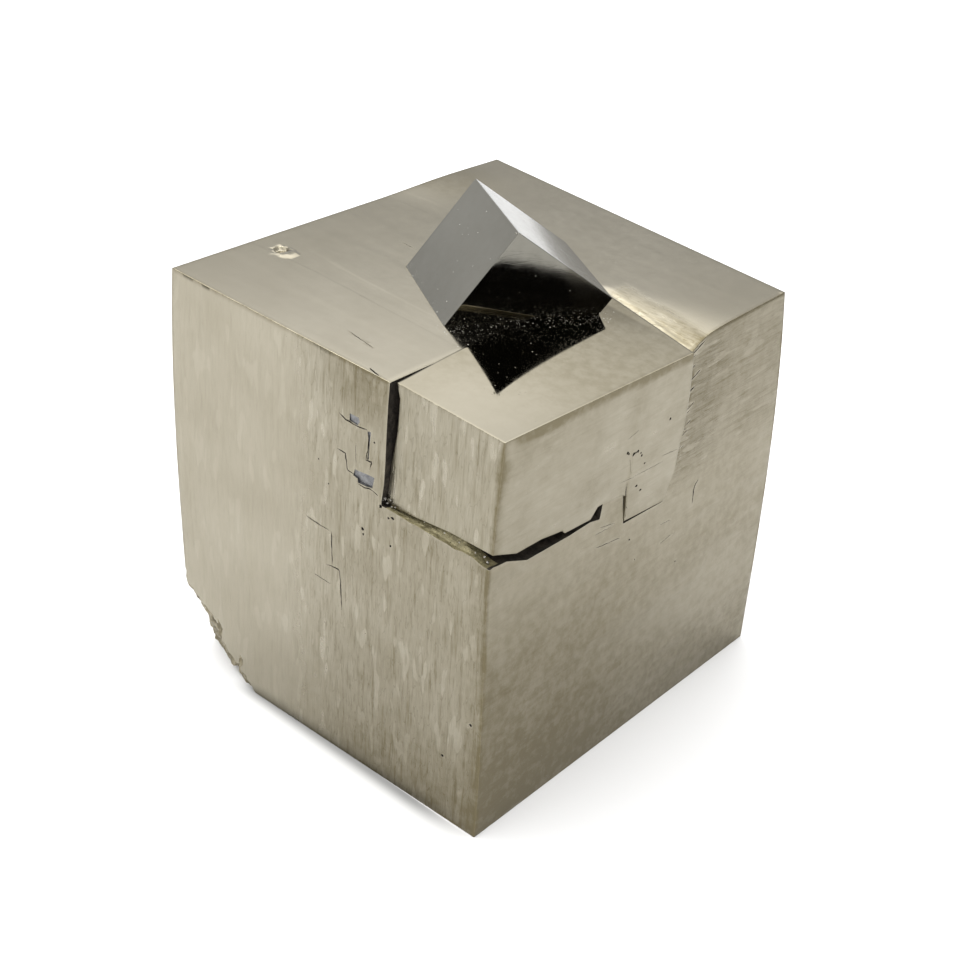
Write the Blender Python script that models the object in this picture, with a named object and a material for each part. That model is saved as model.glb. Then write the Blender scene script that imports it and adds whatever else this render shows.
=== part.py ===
"""Pyrite cluster: three natural cube crystals of iron pyrite that grew into each other.

The main crystal is a cube about 40 mm wide, a little twisted and tapered by its growth, with
one lower corner broken off. A flat block-shaped crystal is set into its front right top corner,
turned by a few degrees, with an open crack under it. A third, small and steeply tilted cube
stands out of the top, half buried in the other two.

Frame: metres, +Z up, resting on z = 0, the origin under the middle of the cluster. The two
faces seen from the front are the one towards -Y and the one towards +X.
"""
from math import radians

import bmesh
import bpy
from mathutils import Matrix, Vector

MM = 0.001
GAP = 0.3 * MM                    # clearance between two crystals that meet
OVERRUN = 6.0 * MM                # how far a cutter runs past the surface that it opens

# Where the middle of the footprint lies in the growth measurements below.
CENTRE = Vector((-0.012, 0.2, 0.0)) * MM

# Main crystal: each upright edge, from the base up, in mm. A grown cube is never quite true,
# so every edge leans and bends by up to a millimetre.
UPRIGHT_EDGES = {
    (-1, -1): ((-19.4, -22.2, 0.0), (-20.2, -22.2, 16.0), (-20.5, -22.2, 30.0), (-20.5, -21.7, 44.0)),
    (1, -1): ((20.4, -21.4, 0.0), (20.3, -21.4, 16.0), (20.1, -21.5, 30.6), (20.4, -21.2, 43.2)),
    (1, 1): ((19.7, 22.6, 0.0), (20.2, 21.8, 16.0), (20.0, 21.6, 28.7), (19.4, 20.8, 42.4)),
    (-1, 1): ((-19.9, 22.4, 0.0), (-19.8, 22.4, 16.0), (-19.6, 22.4, 30.0), (-19.4, 22.2, 43.5)),
}
EDGE_CUTS = 2                     # bends along each upright edge

# Broken lower corner: three points of the fracture plane, in mm.
CHIP_UP_EDGE = (-20.0, -22.2, 12.0)
CHIP_ALONG_FRONT = (-10.1, -22.0, 0.0)
CHIP_ALONG_SIDE = (-19.45, -17.9, 0.0)
CHIP_REACH = 30.0                 # size of the block that breaks the corner off

# Corner crystal: its front top vertex, its size and its turn against the main crystal.
CORNER_VERTEX = (20.4, -20.95, 43.1)
CORNER_SIZE = (12.1, 25.4, 10.6)
CORNER_TURN = (-2.9, 0.57, -0.2)   # degrees about X, then Y, then Z
CORNER_BACK_SINK = 4.0            # how much deeper its underside is at the back than in front
CORNER_LEFT_SINK = 1.0            # how much deeper its underside is at the left than at the right
CORNER_BACK_SKEW = 1.9            # how much further back its buried left side reaches
CORNER_LEFT_RISE = 0.55           # how much higher its back left top corner is than a flat top
CRACK_OPENING = 1.6               # extra room under its front right end, closing both ways

# Tilted crystal: its highest corner, its edge length and the directions of two of its edges.
TILTED_VERTEX = (6.80, -4.65, 51.86)
TILTED_EDGE = 12.24
TILTED_RIDGE = (-0.874, 0.486, 0.006)
TILTED_SLOPE = (0.381, 0.694, -0.611)

# Fresh pyrite is a pale brassy metal; the weathered crystals are a little duller.
MAIN_COLOUR = (0.53, 0.49, 0.38, 1.0)
CORNER_COLOUR = (0.56, 0.52, 0.41, 1.0)
TILTED_COLOUR = (0.50, 0.48, 0.43, 1.0)
METALLIC = 0.9
MAIN_ROUGHNESS, CORNER_ROUGHNESS, TILTED_ROUGHNESS = 0.32, 0.28, 0.12


def place(point):
    """A point of the growth measurements, in mm, as a place in the cluster's own frame."""
    return Vector(point) * MM - CENTRE


def clear_scene():
    """Remove whatever objects the open scene holds."""
    for item in list(bpy.data.objects):
        bpy.data.objects.remove(item, do_unlink=True)


def new_collection(name):
    """A collection of that name, linked to the scene."""
    collection = bpy.data.collections.new(name)
    bpy.context.scene.collection.children.link(collection)
    return collection


def pyrite(name, colour, roughness):
    """A metallic Principled material."""
    material = bpy.data.materials.new(name)
    material.use_nodes = True
    shader = material.node_tree.nodes["Principled BSDF"]
    shader.inputs["Base Color"].default_value = colour
    shader.inputs["Metallic"].default_value = METALLIC
    shader.inputs["Roughness"].default_value = roughness
    return material


def new_object(name, collection, shape, material=None):
    """Turn a bmesh into a named object of a collection."""
    bmesh.ops.recalc_face_normals(shape, faces=shape.faces[:])
    mesh = bpy.data.meshes.new(name)
    shape.to_mesh(mesh)
    shape.free()
    if material:
        mesh.materials.append(material)
    item = bpy.data.objects.new(name, mesh)
    collection.objects.link(item)
    return item


def new_cutter(name, collection, shape):
    """A shape that only cuts others: never rendered, drawn as wire."""
    cutter = new_object(name, collection, shape)
    cutter.hide_render = True
    cutter.display_type = "WIRE"
    return cutter


def cut(target, cutter):
    """Take the cutter's volume out of the target with an exact Boolean."""
    boolean = target.modifiers.new(cutter.name, "BOOLEAN")
    boolean.operation = "DIFFERENCE"
    boolean.solver = "EXACT"
    boolean.object = cutter


def twisted_cube():
    """A cube whose upright edges are bent onto the measured edge lines."""
    shape = bmesh.new()
    bmesh.ops.create_cube(shape, size=1.0)
    upright = [edge for edge in shape.edges
               if abs(edge.verts[0].co.z - edge.verts[1].co.z) > 0.5]
    bmesh.ops.subdivide_edges(shape, edges=upright, cuts=EDGE_CUTS, use_grid_fill=True)
    for vertex in shape.verts:
        side = (1 if vertex.co.x > 0 else -1, 1 if vertex.co.y > 0 else -1)
        level = round((vertex.co.z + 0.5) * (EDGE_CUTS + 1))
        vertex.co = place(UPRIGHT_EDGES[side][level])
    return shape


def block(vertex, axes, low, high):
    """A box in a crystal's own axes, from low to high, measured in metres from its vertex."""
    shape = bmesh.new()
    bmesh.ops.create_cube(shape, size=1.0)
    size = Vector(high) - Vector(low)
    middle = (Vector(high) + Vector(low)) / 2
    bmesh.ops.scale(shape, vec=size, verts=shape.verts[:])
    bmesh.ops.translate(shape, vec=middle, verts=shape.verts[:])
    bmesh.ops.transform(shape, matrix=Matrix.Translation(vertex) @ axes.to_4x4(),
                        verts=shape.verts[:])
    return shape


def chip_block():
    """A block with one face on the fracture plane and its body over the broken corner."""
    up_edge = place(CHIP_UP_EDGE)
    along = (place(CHIP_ALONG_FRONT) - up_edge).normalized()
    outward = along.cross(place(CHIP_ALONG_SIDE) - up_edge).normalized()
    if outward.dot(Vector((-1, -1, -1))) < 0:
        outward.negate()
    axes = Matrix((along, outward.cross(along), outward)).transposed()
    reach = CHIP_REACH * MM
    return block(up_edge, axes, (-reach, -reach, 0.0), (reach, reach, reach))


def corner_axes():
    """The corner crystal's own axes, as the columns of a matrix."""
    turn_x, turn_y, turn_z = (Matrix.Rotation(radians(angle), 3, axis)
                              for angle, axis in zip(CORNER_TURN, "XYZ"))
    return turn_z @ turn_y @ turn_x


def corner_block(grow, overrun, crack):
    """The corner crystal, or with grow, overrun and crack the hollow that it sits in.

    The block hangs from its front top vertex at the local origin, towards -X, +Y and -Z. Its
    underside slopes down to the back and to the left, its back face is skewed, and its top
    rises a little towards the back left. The hollow is larger by grow on the buried sides,
    runs past the three open sides by overrun, and is deeper by crack at the front right.
    """
    length, width, height = (side * MM for side in CORNER_SIZE)
    low = (-length - grow, -overrun, -height - grow)
    high = (overrun, width + grow, overrun)
    axes = corner_axes()
    vertex = place(CORNER_VERTEX)
    shape = block(vertex, axes, low, high)
    for corner in shape.verts:
        local = axes.transposed() @ (corner.co - vertex)
        back = (local.y - low[1]) / (high[1] - low[1])
        left = (high[0] - local.x) / (high[0] - low[0])
        if local.z < low[2] / 2:
            sink = (back * CORNER_BACK_SINK + left * CORNER_LEFT_SINK) * MM
            sink += (1 - back) * (1 - left) * crack
            corner.co = corner.co - axes.col[2] * sink
        else:
            corner.co = corner.co + axes.col[2] * back * left * CORNER_LEFT_RISE * MM
        if local.y > high[1] / 2:
            corner.co = corner.co + axes.col[1] * left * CORNER_BACK_SKEW * MM
    return shape


def tilted_axes():
    """The tilted crystal's own axes: its ridge, its slope and the steep edge down from both."""
    ridge = Vector(TILTED_RIDGE).normalized()
    slope = Vector(TILTED_SLOPE)
    slope = (slope - ridge * slope.dot(ridge)).normalized()
    return Matrix((ridge, slope, ridge.cross(slope))).transposed()


def tilted_cube(grow):
    """The tilted crystal, a cube from its highest corner along its own axes."""
    far = TILTED_EDGE * MM + grow
    return block(place(TILTED_VERTEX), tilted_axes(), (-grow,) * 3, (far,) * 3)


clear_scene()
cluster = new_collection("pyrite_cluster")
cutters = new_collection("cutters")

chip = new_cutter("cut_chip", cutters, chip_block())
corner_hollow = new_cutter("cut_corner_hollow", cutters,
                           corner_block(GAP, OVERRUN, CRACK_OPENING * MM))
tilted_hollow = new_cutter("cut_tilted_hollow", cutters, tilted_cube(GAP))

main_crystal = new_object("main_crystal", cluster, twisted_cube(),
                          pyrite("main_pyrite", MAIN_COLOUR, MAIN_ROUGHNESS))
for cutter in (chip, corner_hollow, tilted_hollow):
    cut(main_crystal, cutter)

corner_crystal = new_object("corner_crystal", cluster, corner_block(0.0, 0.0, 0.0),
                            pyrite("corner_pyrite", CORNER_COLOUR, CORNER_ROUGHNESS))
cut(corner_crystal, tilted_hollow)

new_object("tilted_crystal", cluster, tilted_cube(0.0),
           pyrite("tilted_pyrite", TILTED_COLOUR, TILTED_ROUGHNESS))
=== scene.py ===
# %% [markdown]
# # A pyrite cluster
# Pyrite grows as cubes with mirror-bright faces. This specimen is three of them grown into one
# another: a large main crystal, a block-shaped one set into its front right top corner, and a
# small tilted cube that stands out of the top. The lesson makes each crystal as a closed surface
# computed with numpy, cuts the cracks and the broken corner into it, and gives it a worn metal.

import bmesh
import bpy
import numpy as np
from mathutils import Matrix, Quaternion, Vector


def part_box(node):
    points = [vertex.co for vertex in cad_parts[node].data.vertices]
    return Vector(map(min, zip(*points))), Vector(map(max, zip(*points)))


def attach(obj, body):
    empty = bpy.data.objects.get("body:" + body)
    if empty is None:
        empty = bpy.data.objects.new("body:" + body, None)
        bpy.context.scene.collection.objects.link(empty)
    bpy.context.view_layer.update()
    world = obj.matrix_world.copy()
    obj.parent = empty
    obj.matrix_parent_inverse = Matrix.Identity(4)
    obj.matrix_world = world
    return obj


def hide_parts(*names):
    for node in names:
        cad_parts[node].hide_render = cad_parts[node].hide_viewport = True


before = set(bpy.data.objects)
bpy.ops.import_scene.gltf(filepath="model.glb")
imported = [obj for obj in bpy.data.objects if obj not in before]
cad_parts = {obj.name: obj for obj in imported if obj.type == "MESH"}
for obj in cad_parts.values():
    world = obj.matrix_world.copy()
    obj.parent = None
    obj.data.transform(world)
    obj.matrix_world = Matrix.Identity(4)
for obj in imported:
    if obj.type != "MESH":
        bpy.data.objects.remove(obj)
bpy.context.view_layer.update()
MM = 0.001


# %% [markdown]
# ## The camera
# The view looks down on the front upright edge from about 19 cm away, so the upright edges run
# together towards the floor. The lens only sets how much of the view the specimen fills, and a
# small roll keeps the front edge a little off plumb, as a hand-held camera has it.

# %% Camera
CAMERA_PLACE = Vector((97.95, -114.26, 115.96)) * MM
CAMERA_AZIMUTH, CAMERA_ELEVATION, CAMERA_ROLL = np.radians((40.49, 32.42, 3.61))
CAMERA_LENS = 65.39               # mm on a 36 mm sensor

camera_data = bpy.data.cameras.new("camera")
camera_data.lens = CAMERA_LENS
camera_data.clip_start, camera_data.clip_end = 0.01, 20.0
camera = bpy.data.objects.new("camera", camera_data)
bpy.context.scene.collection.objects.link(camera)
back = Vector((np.sin(CAMERA_AZIMUTH) * np.cos(CAMERA_ELEVATION),
               -np.cos(CAMERA_AZIMUTH) * np.cos(CAMERA_ELEVATION), np.sin(CAMERA_ELEVATION)))
camera.location = CAMERA_PLACE
camera.rotation_mode = "QUATERNION"
camera.rotation_quaternion = (-back).to_track_quat("-Z", "Y") @ Quaternion((0, 0, 1), CAMERA_ROLL)
bpy.context.scene.camera = camera
bpy.context.scene.view_settings.view_transform = "Standard"
print("the camera stands", round(CAMERA_PLACE.length, 3), "m from the origin")


# %% [markdown]
# ## The table and the light
# Polished crystal faces show what stands around them, so the surroundings are part of the look.
# A wide pale table runs under the specimen. Around it hangs a plain studio of soft light: dim near
# the horizon, bright overhead, and with a dark flag on the right that gives the tilted crystal its
# black face. The studio is painted on the world by direction, so it needs no cards or walls.

# %% Table
FLOOR_REACH = 0.75
floor_mesh = bpy.data.meshes.new("table")
floor_mesh.from_pydata([(x * FLOOR_REACH, y * FLOOR_REACH, 0.0) for x, y in
                        ((-1, -1), (1, -1), (1, 1), (-1, 1))], [], [(0, 1, 2, 3)])
floor = bpy.data.objects.new("table", floor_mesh)
bpy.context.scene.collection.objects.link(floor)
print("the table reaches", FLOOR_REACH, "m from the middle")


# %% [markdown]
# ## Shader sums
# A finish is easier to read as sums than as a list of nodes. The class below wraps a socket, and
# adding or multiplying two of them makes the Math node. Every other node comes from one method.

# %% A finish and its values
class Value:
    """A shader socket that can stand in a sum; each operator adds one Math node."""

    def __init__(self, finish, socket):
        self.finish, self.socket = finish, socket

    def math(self, operation, *others):
        return self.finish.node("ShaderNodeMath", {"operation": operation},
                                dict(enumerate((self, *others))))

    def __add__(self, other):
        return self.math("ADD", other)

    def __sub__(self, other):
        return self.math("SUBTRACT", other)

    def __rsub__(self, other):
        return self.finish.node("ShaderNodeMath", {"operation": "SUBTRACT"}, {0: other, 1: self})

    def __mul__(self, other):
        return self.math("MULTIPLY", other)

    def __truediv__(self, other):
        return self.math("DIVIDE", other)

    __radd__, __rmul__ = __add__, __mul__

    def clamped(self):
        return self.finish.node("ShaderNodeClamp", {}, {0: self})

    def rise(self, low, high):
        """0 below low, 1 above high, and a smooth step between."""
        return self.finish.node("ShaderNodeMapRange", {"interpolation_type": "SMOOTHSTEP"},
                                {"Value": self, "From Min": low, "From Max": high})


class Finish:
    """A material, or the world, and the nodes that make it."""

    def __init__(self, owner):
        owner.use_nodes = True
        self.tree = owner.node_tree
        self.tree.nodes.clear()

    def node(self, kind, settings=None, inputs=None, output=0):
        """Add a node: its settings first, then the values or links of its sockets."""
        made = self.tree.nodes.new(kind)
        for name, setting in (settings or {}).items():
            if name in ("stops", "steps"):
                made.color_ramp.interpolation = "LINEAR" if name == "stops" else "CONSTANT"
                for place, colour in setting[len(made.color_ramp.elements):]:
                    made.color_ramp.elements.new(place)
                for element, (place, colour) in zip(made.color_ramp.elements, setting):
                    element.position, element.color = place, colour
            else:
                setattr(made, name, setting)
        for name, value in (inputs or {}).items():
            if isinstance(value, Value):
                self.tree.links.new(value.socket, made.inputs[name])
            else:
                made.inputs[name].default_value = value
        return Value(self, made.outputs[output]) if len(made.outputs) else None

    def mix(self, factor, first, second):
        """Blend two colours."""
        return self.node("ShaderNodeMix", {"data_type": "RGBA"},
                         {0: factor, 6: first, 7: second}, output=2)

    def vector(self, operation, first, second):
        """One Vector Math node."""
        output = "Value" if operation in ("DOT_PRODUCT", "LENGTH") else "Vector"
        return self.node("ShaderNodeVectorMath", {"operation": operation},
                         {0: first, 1: second}, output=output)

    def noise(self, place, scale, detail=2.0, roughness=0.5):
        """Fractal noise, about 0.5 on average."""
        return self.node("ShaderNodeTexNoise", {},
                         {"Vector": place, "Scale": scale, "Detail": detail,
                          "Roughness": roughness})


# %% Studio
# Pairs of (height of the direction, radiance).
SKY = ((0.0, 0.55), (0.10, 0.62), (0.19, 0.95), (0.26, 0.85), (0.35, 0.68), (0.40, 0.70),
       (0.43, 0.84), (0.45, 1.13), (0.46, 1.38), (0.53, 1.95), (0.88, 2.9))
FLAG_TOWARDS = Vector((0.865, -0.08, 0.495)).normalized()
RIGHT_TOWARDS = Vector((0.75, 0.50, 0.42)).normalized()
SOFTBOX_PLACE, SOFTBOX_SIZE, SOFTBOX_ENERGY = (-0.45, -0.10, 0.60), 0.35, 1.0     # m, m, W


def grey(level, tint=0.0):
    """A grey of that level; a positive tint leans to blue, a negative one to cream."""
    return (level * (1 - tint), level, level * (1 + tint), 1.0)


world = bpy.data.worlds.new("studio")
bpy.context.scene.world = world
studio = Finish(world)
direction = studio.node("ShaderNodeTexCoord", output="Generated")
height = studio.node("ShaderNodeSeparateXYZ", {}, {0: direction}, output=2)
sky = studio.node("ShaderNodeValToRGB",
                  {"stops": tuple((place, grey(level)) for place, level in SKY)}, {0: height})
right_side = studio.vector("DOT_PRODUCT", direction, tuple(RIGHT_TOWARDS)).rise(0.55, 0.95)
flag = studio.vector("DOT_PRODUCT", direction, tuple(FLAG_TOWARDS)).rise(0.905, 0.955)
sky = studio.mix(right_side * 0.45, sky, grey(0.5))
sky = studio.mix(flag, sky, grey(0.012))
light = studio.node("ShaderNodeBackground", {}, {"Color": sky, "Strength": 1.0})
studio.node("ShaderNodeOutputWorld", {}, {0: light})

softbox_data = bpy.data.lights.new("softbox", "AREA")
softbox_data.shape, softbox_data.size = "DISK", SOFTBOX_SIZE
softbox_data.energy = SOFTBOX_ENERGY
softbox = bpy.data.objects.new("softbox", softbox_data)
bpy.context.scene.collection.objects.link(softbox)
softbox.location = SOFTBOX_PLACE
softbox.rotation_mode = "QUATERNION"
softbox.rotation_quaternion = (-softbox.location).to_track_quat("-Z", "Y")
print("the sky has", len(SKY), "levels; the softbox is", SOFTBOX_SIZE, "m wide")


# %% Table finish
# Painted shade on the table: it is darker away from the middle, and a thin painted contact
# shadow runs along the foot of the front face. All lengths are in metres.
FOOT_OUT, FOOT_END = (0.0217, 0.0219), (0.0220, 0.0237)
FOOT_LEFT, FOOT_RIGHT = (-0.0130, -0.0090), (0.0120, 0.0215)

table = Finish(bpy.data.materials.new("pale_table"))
floor_mesh.materials.append(bpy.data.materials["pale_table"])
floor_place = table.node("ShaderNodeTexCoord", output="Object")
from_middle = table.vector("LENGTH", floor_place, (0.0, 0.0, 0.0))
shade = table.mix(from_middle.rise(0.17, 0.50), grey(0.80), grey(0.38, 0.04))
along = table.node("ShaderNodeSeparateXYZ", {}, {0: floor_place}, output="X")
out = table.node("ShaderNodeSeparateXYZ", {}, {0: floor_place}, output="Y") * -1.0
# Painted contact shadow: a thin darker line on the table beside the foot of the front face.
painted_contact_shadow = (out.rise(*FOOT_OUT) * (1.0 - out.rise(*FOOT_END))
               * along.rise(*FOOT_LEFT) * (1.0 - along.rise(*FOOT_RIGHT)))
shade = table.mix(painted_contact_shadow * 0.75, shade, grey(0.16))
paint = table.node("ShaderNodeBsdfPrincipled", {},
                   {"Base Color": shade, "Roughness": 0.85, "Specular IOR Level": 0.1})
table.node("ShaderNodeOutputMaterial", {}, {0: paint})
print("the table's finish has", len(table.tree.nodes), "nodes")


# %% [markdown]
# ## Growth relief
# The faces of pyrite are not plain: they carry striae, the edges of countless growth layers, all
# parallel on one face and at right angles to those of the next face. They could be scanned or
# sculpted; here they are smooth noise stretched along the growth lines and summed over several
# octaves, which is quick and the same on every run.

# %% Noise and striae
def smooth(low, high, value):
    """0 below low, 1 above high, and a cubic step between."""
    t = np.clip((value - low) / (high - low), 0, 1)
    return t * t * (3 - 2 * t)


NOISE_PERIOD = 97                 # the noise repeats after that many cells


def grain(across, along=0.0, seed=0):
    """Value noise: random numbers from -1 to 1 on a unit lattice, blended by a cubic step."""
    values = np.random.default_rng(seed).uniform(-1, 1, (NOISE_PERIOD, NOISE_PERIOD))
    across, along = np.broadcast_arrays(np.asarray(across, float), np.asarray(along, float))
    i, j = np.floor(across).astype(int), np.floor(along).astype(int)
    s, t = smooth(0, 1, across - i), smooth(0, 1, along - j)
    left, right = i % NOISE_PERIOD, (i + 1) % NOISE_PERIOD
    low, high = j % NOISE_PERIOD, (j + 1) % NOISE_PERIOD
    near = values[left, low] * (1 - s) + values[right, low] * s
    far = values[left, high] * (1 - s) + values[right, high] * s
    return near * (1 - t) + far * t


def striae(across, along, seed, width=2.4, stretch=9.0, octaves=3):
    """Striae in mm: noise of that width across the lines, stretched along them, each octave
    half as wide and six tenths as high as the one before."""
    total, weight = 0.0, 1.0
    for octave in range(octaves):
        fine = width / 2 ** octave
        total = total + weight * grain(across / fine + 7.3 * octave, along / (fine * stretch),
                                       seed + octave)
        weight *= 0.6
    return total


def terraces(across, along, seed, width=3.0, stretch=5.0, edge=0.06):
    """Growth layers with crisp lens-shaped rims: 1 inside a layer, 0 outside."""
    return smooth(-edge, edge, striae(across, along, seed, width, stretch, 2) - 0.15)


print("striae sample from", striae(np.linspace(0, 9, 90), 0.0, 3).min().round(2))


# %% [markdown]
# ## A crystal as the shell of a lattice
# All three crystals, and the tools that cut them, are blocks of cells whose six sides share their
# edge points, so the shell is closed without any welding. A cube primitive with a subdivision
# would do for plain faces; the lattice lets each family of lines crowd where there is detail.

# %% Lattice shell
def lattice(lines_x, lines_y, lines_z):
    """The outer shell of a block of cells. Returns the three parameters of every point, the
    quads, and for every quad its side: twice the axis, plus one at the far end."""
    lines = [np.asarray(one, float) for one in (lines_x, lines_y, lines_z)]
    counts = [len(one) - 1 for one in lines]

    def key(i, j, k):
        return (i * (counts[1] + 1) + j) * (counts[2] + 1) + k

    quads, sides = [], []
    for axis in range(3):
        one, two = (axis + 1) % 3, (axis + 2) % 3
        p, q = np.meshgrid(np.arange(counts[one]), np.arange(counts[two]), indexing="ij")
        for end in (0, 1):
            ring = [(p, q), (p + 1, q), (p + 1, q + 1), (p, q + 1)]
            corners = []
            for a, b in (ring if end else ring[::-1]):
                index = [None] * 3
                index[axis], index[one], index[two] = np.full_like(p, end * counts[axis]), a, b
                corners.append(key(*index))
            quads.append(np.stack(corners, -1).reshape(-1, 4))
            sides.append(np.full(p.size, 2 * axis + end))
    keys, quads = np.unique(np.concatenate(quads), return_inverse=True)
    plane = (counts[1] + 1) * (counts[2] + 1)
    index = (keys // plane, keys // (counts[2] + 1) % (counts[1] + 1), keys % (counts[2] + 1))
    params = [line[at] for line, at in zip(lines, index)]
    return params, quads.reshape(-1, 4), np.concatenate(sides)


def crowded(low, high, count, *extra, rim=None):
    """Lines from low to high, evenly spread, with extra lines and one just inside each end."""
    rim = rim if rim is not None else (high - low) / count / 3
    lines = np.concatenate([np.linspace(low, high, count + 1), [low + rim, high - rim], *extra])
    lines = np.unique(np.round(lines, 5))
    keep = np.append(np.diff(lines) > rim * 0.4, True)
    keep[0] = True
    return lines[keep]


SIDE_PITCH, SIDE_START = 80.0, -30.0     # mm of U between two sides, and where the first starts


def striae_map(points, quads, sides):
    """UV in mm for every quad corner: U across the striae of its side and V along them. The
    striae run along Y on the X sides, along Z on the Y sides and along X on the Z sides. Each
    side has a strip of U of its own, so a finish can tell the sides apart."""
    across = np.stack([points[:, 2], points[:, 0], points[:, 1]], -1)
    along = np.stack([points[:, 1], points[:, 2], points[:, 0]], -1)
    axis = sides[:, None] // 2
    u = across[quads, axis] + SIDE_PITCH * sides[:, None]
    return np.stack([u, along[quads, axis]], -1)


def make_object(name, points, quads, sides, slot_index=0, rim=None):
    """Points in mm and quads become a mesh object in metres with its striae map. rim says for
    every point how near it is to an edge, from 0 to 1."""
    mesh = bpy.data.meshes.new(name)
    mesh.from_pydata(points * MM, [], quads.tolist())
    layer = mesh.uv_layers.new(name="striae")
    layer.data.foreach_set("uv", striae_map(points, quads, sides).ravel().astype(np.float32))
    nearness = mesh.attributes.new("rim", "FLOAT", "POINT")
    nearness.data.foreach_set("value", np.zeros(len(points)) if rim is None else rim)
    mesh.polygons.foreach_set("material_index", np.full(len(quads), slot_index))
    made = bpy.data.objects.new(name, mesh)
    bpy.context.scene.collection.objects.link(made)
    return made


def rounded(params, low, high, radius):
    """Round every edge of a box: each point goes to radius from the box shrunk by radius,
    p' = c + radius (p - c) / |p - c|, where c is the nearest point of the shrunk box."""
    points = np.stack(params, -1)
    core = np.clip(points, np.asarray(low) + radius, np.asarray(high) - radius)
    away = points - core
    length = np.linalg.norm(away, axis=1, keepdims=True)
    return np.where(length > 0, core + away * radius / np.maximum(length, 1e-9), points)


def rim_distance(points, axis, low, high):
    """How far each point is from the nearest edge of the sides that face that axis."""
    others = [a for a in range(3) if a != axis]
    return np.min([np.minimum(points[:, a] - low[a], high[a] - points[:, a]) for a in others],
                  axis=0)


def rim_nearness(points, box_of_points, reach=0.35):
    """1 on the edges of a box, falling smoothly to 0 at that reach in mm."""
    low, high = box_of_points
    gaps = np.sort(np.minimum(points - low, high - points), axis=1)
    return smooth(reach, 0.0, np.hypot(gaps[:, 0], gaps[:, 1]))


def block_tool(name, lines, shape, slot_index=0):
    """A closed block for cutting; shape turns its lattice parameters into places in mm."""
    params, quads, sides = lattice(*lines)
    return make_object(name, np.stack(shape(*params), -1), quads, sides, slot_index=slot_index)


def boolean(target, tool):
    """Take the tool's volume out of the target for good, then remove the tool."""
    cut = target.modifiers.new(tool.name, "BOOLEAN")
    cut.operation, cut.object, cut.solver = "DIFFERENCE", tool, "MANIFOLD"
    graph = bpy.context.evaluated_depsgraph_get()
    before = len(target.data.polygons)
    result = bpy.data.meshes.new_from_object(target.evaluated_get(graph), depsgraph=graph)
    target.modifiers.clear()
    target.data, result.name = result, target.data.name
    bpy.data.objects.remove(tool, do_unlink=True)
    print(target.name, "cut by the tool:", before, "to", len(result.polygons), "faces")


def drop_slivers(piece):
    """Remove the faces that share all their points with another face. A cut can leave such a
    pair, and it encloses nothing."""
    shell = bmesh.new()
    shell.from_mesh(piece.data)
    alike = {}
    for face in shell.faces:
        alike.setdefault(frozenset(face.verts), []).append(face)
    slivers = [face for group in alike.values() if len(group) > 1 for face in group]
    bmesh.ops.delete(shell, geom=slivers, context="FACES")
    shell.to_mesh(piece.data)
    shell.free()
    print(piece.name, "slivers removed:", len(slivers))


def report_shell(piece):
    """Print the triangles of a piece and any edge that does not join exactly two faces."""
    mesh = piece.data
    mesh.calc_loop_triangles()
    edges = np.zeros(len(mesh.loops), int)
    mesh.loops.foreach_get("edge_index", edges)
    loose = int((np.bincount(edges, minlength=len(mesh.edges)) != 2).sum())
    print(piece.name, len(mesh.loop_triangles), "triangles,", loose, "open edges")


# %% [markdown]
# ## The tilted crystal
# The small cube is the smoothest of the three: its faces are mirrors with a hint of a growth
# layer. Its corner points come from the solid of the same name, so it sits where it should.

# %% Places of the solids
def corners_of(node):
    """The points of a solid in mm, in the shared frame."""
    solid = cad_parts[node]
    points = np.array([list(solid.matrix_world @ v.co) for v in solid.data.vertices]) / MM
    return np.unique(points.round(3), axis=0)


def box_of(node):
    """The low and high corner of a solid in mm."""
    return [np.array(corner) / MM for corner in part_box(node)]


# The ridge is all but level, so its two ends are the highest points. The cube hangs from the
# right-hand one, and its three edges there are sorted from the highest to the steepest.
tilted_points = corners_of("tilted_crystal")
highest = tilted_points[np.argsort(-tilted_points[:, 2])][:2]
vertex = highest[highest[:, 0].argmax()]
away = tilted_points - vertex
nearest = away[np.argsort(np.linalg.norm(away, axis=1))][1:4]
tilted_edge = float(np.linalg.norm(nearest, axis=1).mean())
ridge, slope, steep = nearest[np.argsort(-nearest[:, 2])] / tilted_edge
print("tilted crystal: edge", round(tilted_edge, 2), "mm, ridge", ridge.round(3),
      "slope", slope.round(3), "steep", steep.round(3))


# %% Tilted crystal
TILTED_ROUNDING = 0.07            # mm
TILTED_RELIEF = (0.004, 0.004, 0.004)     # mm, for the sides that face each of its axes


def tilted_shape(u, v, w):
    """A cube hung from its top vertex: P = vertex + u ridge + v slope + w steep, in mm."""
    return vertex + sum(np.multiply.outer(k, axis)
                        for k, axis in ((u, ridge), (v, slope), (w, steep)))


def relief(points, sides_of_box, height, seed, width):
    """Striae on all six sides as a move in mm along each axis, fading out at the rims. height
    holds one value for each axis, and both sides that face it share one pattern."""
    low, high = sides_of_box
    move = np.zeros_like(points)
    for axis in range(3):
        across, along = points[:, (axis + 2) % 3], points[:, (axis + 1) % 3]
        fade = smooth(0.0, 0.6, rim_distance(points, axis, low, high))
        wave = striae(across, along, seed + 11 * axis, width) * height[axis] * fade
        at_low, at_high = points[:, axis] <= low[axis], points[:, axis] >= high[axis]
        move[:, axis] += np.where(at_high, wave, 0) - np.where(at_low, wave, 0)
    return move


cube = (np.zeros(3), np.full(3, tilted_edge))
lines = crowded(0.0, tilted_edge, 60, rim=0.04)
params, quads, sides = lattice(lines, lines, lines)
tilted_move = relief(np.stack(params, -1), cube, TILTED_RELIEF, 50, 4.0)
local = rounded(params, *cube, TILTED_ROUNDING) + tilted_move
tilted = make_object("tilted_cube_of_pyrite", tilted_shape(*local.T), quads, sides)
report_shell(tilted)


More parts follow.
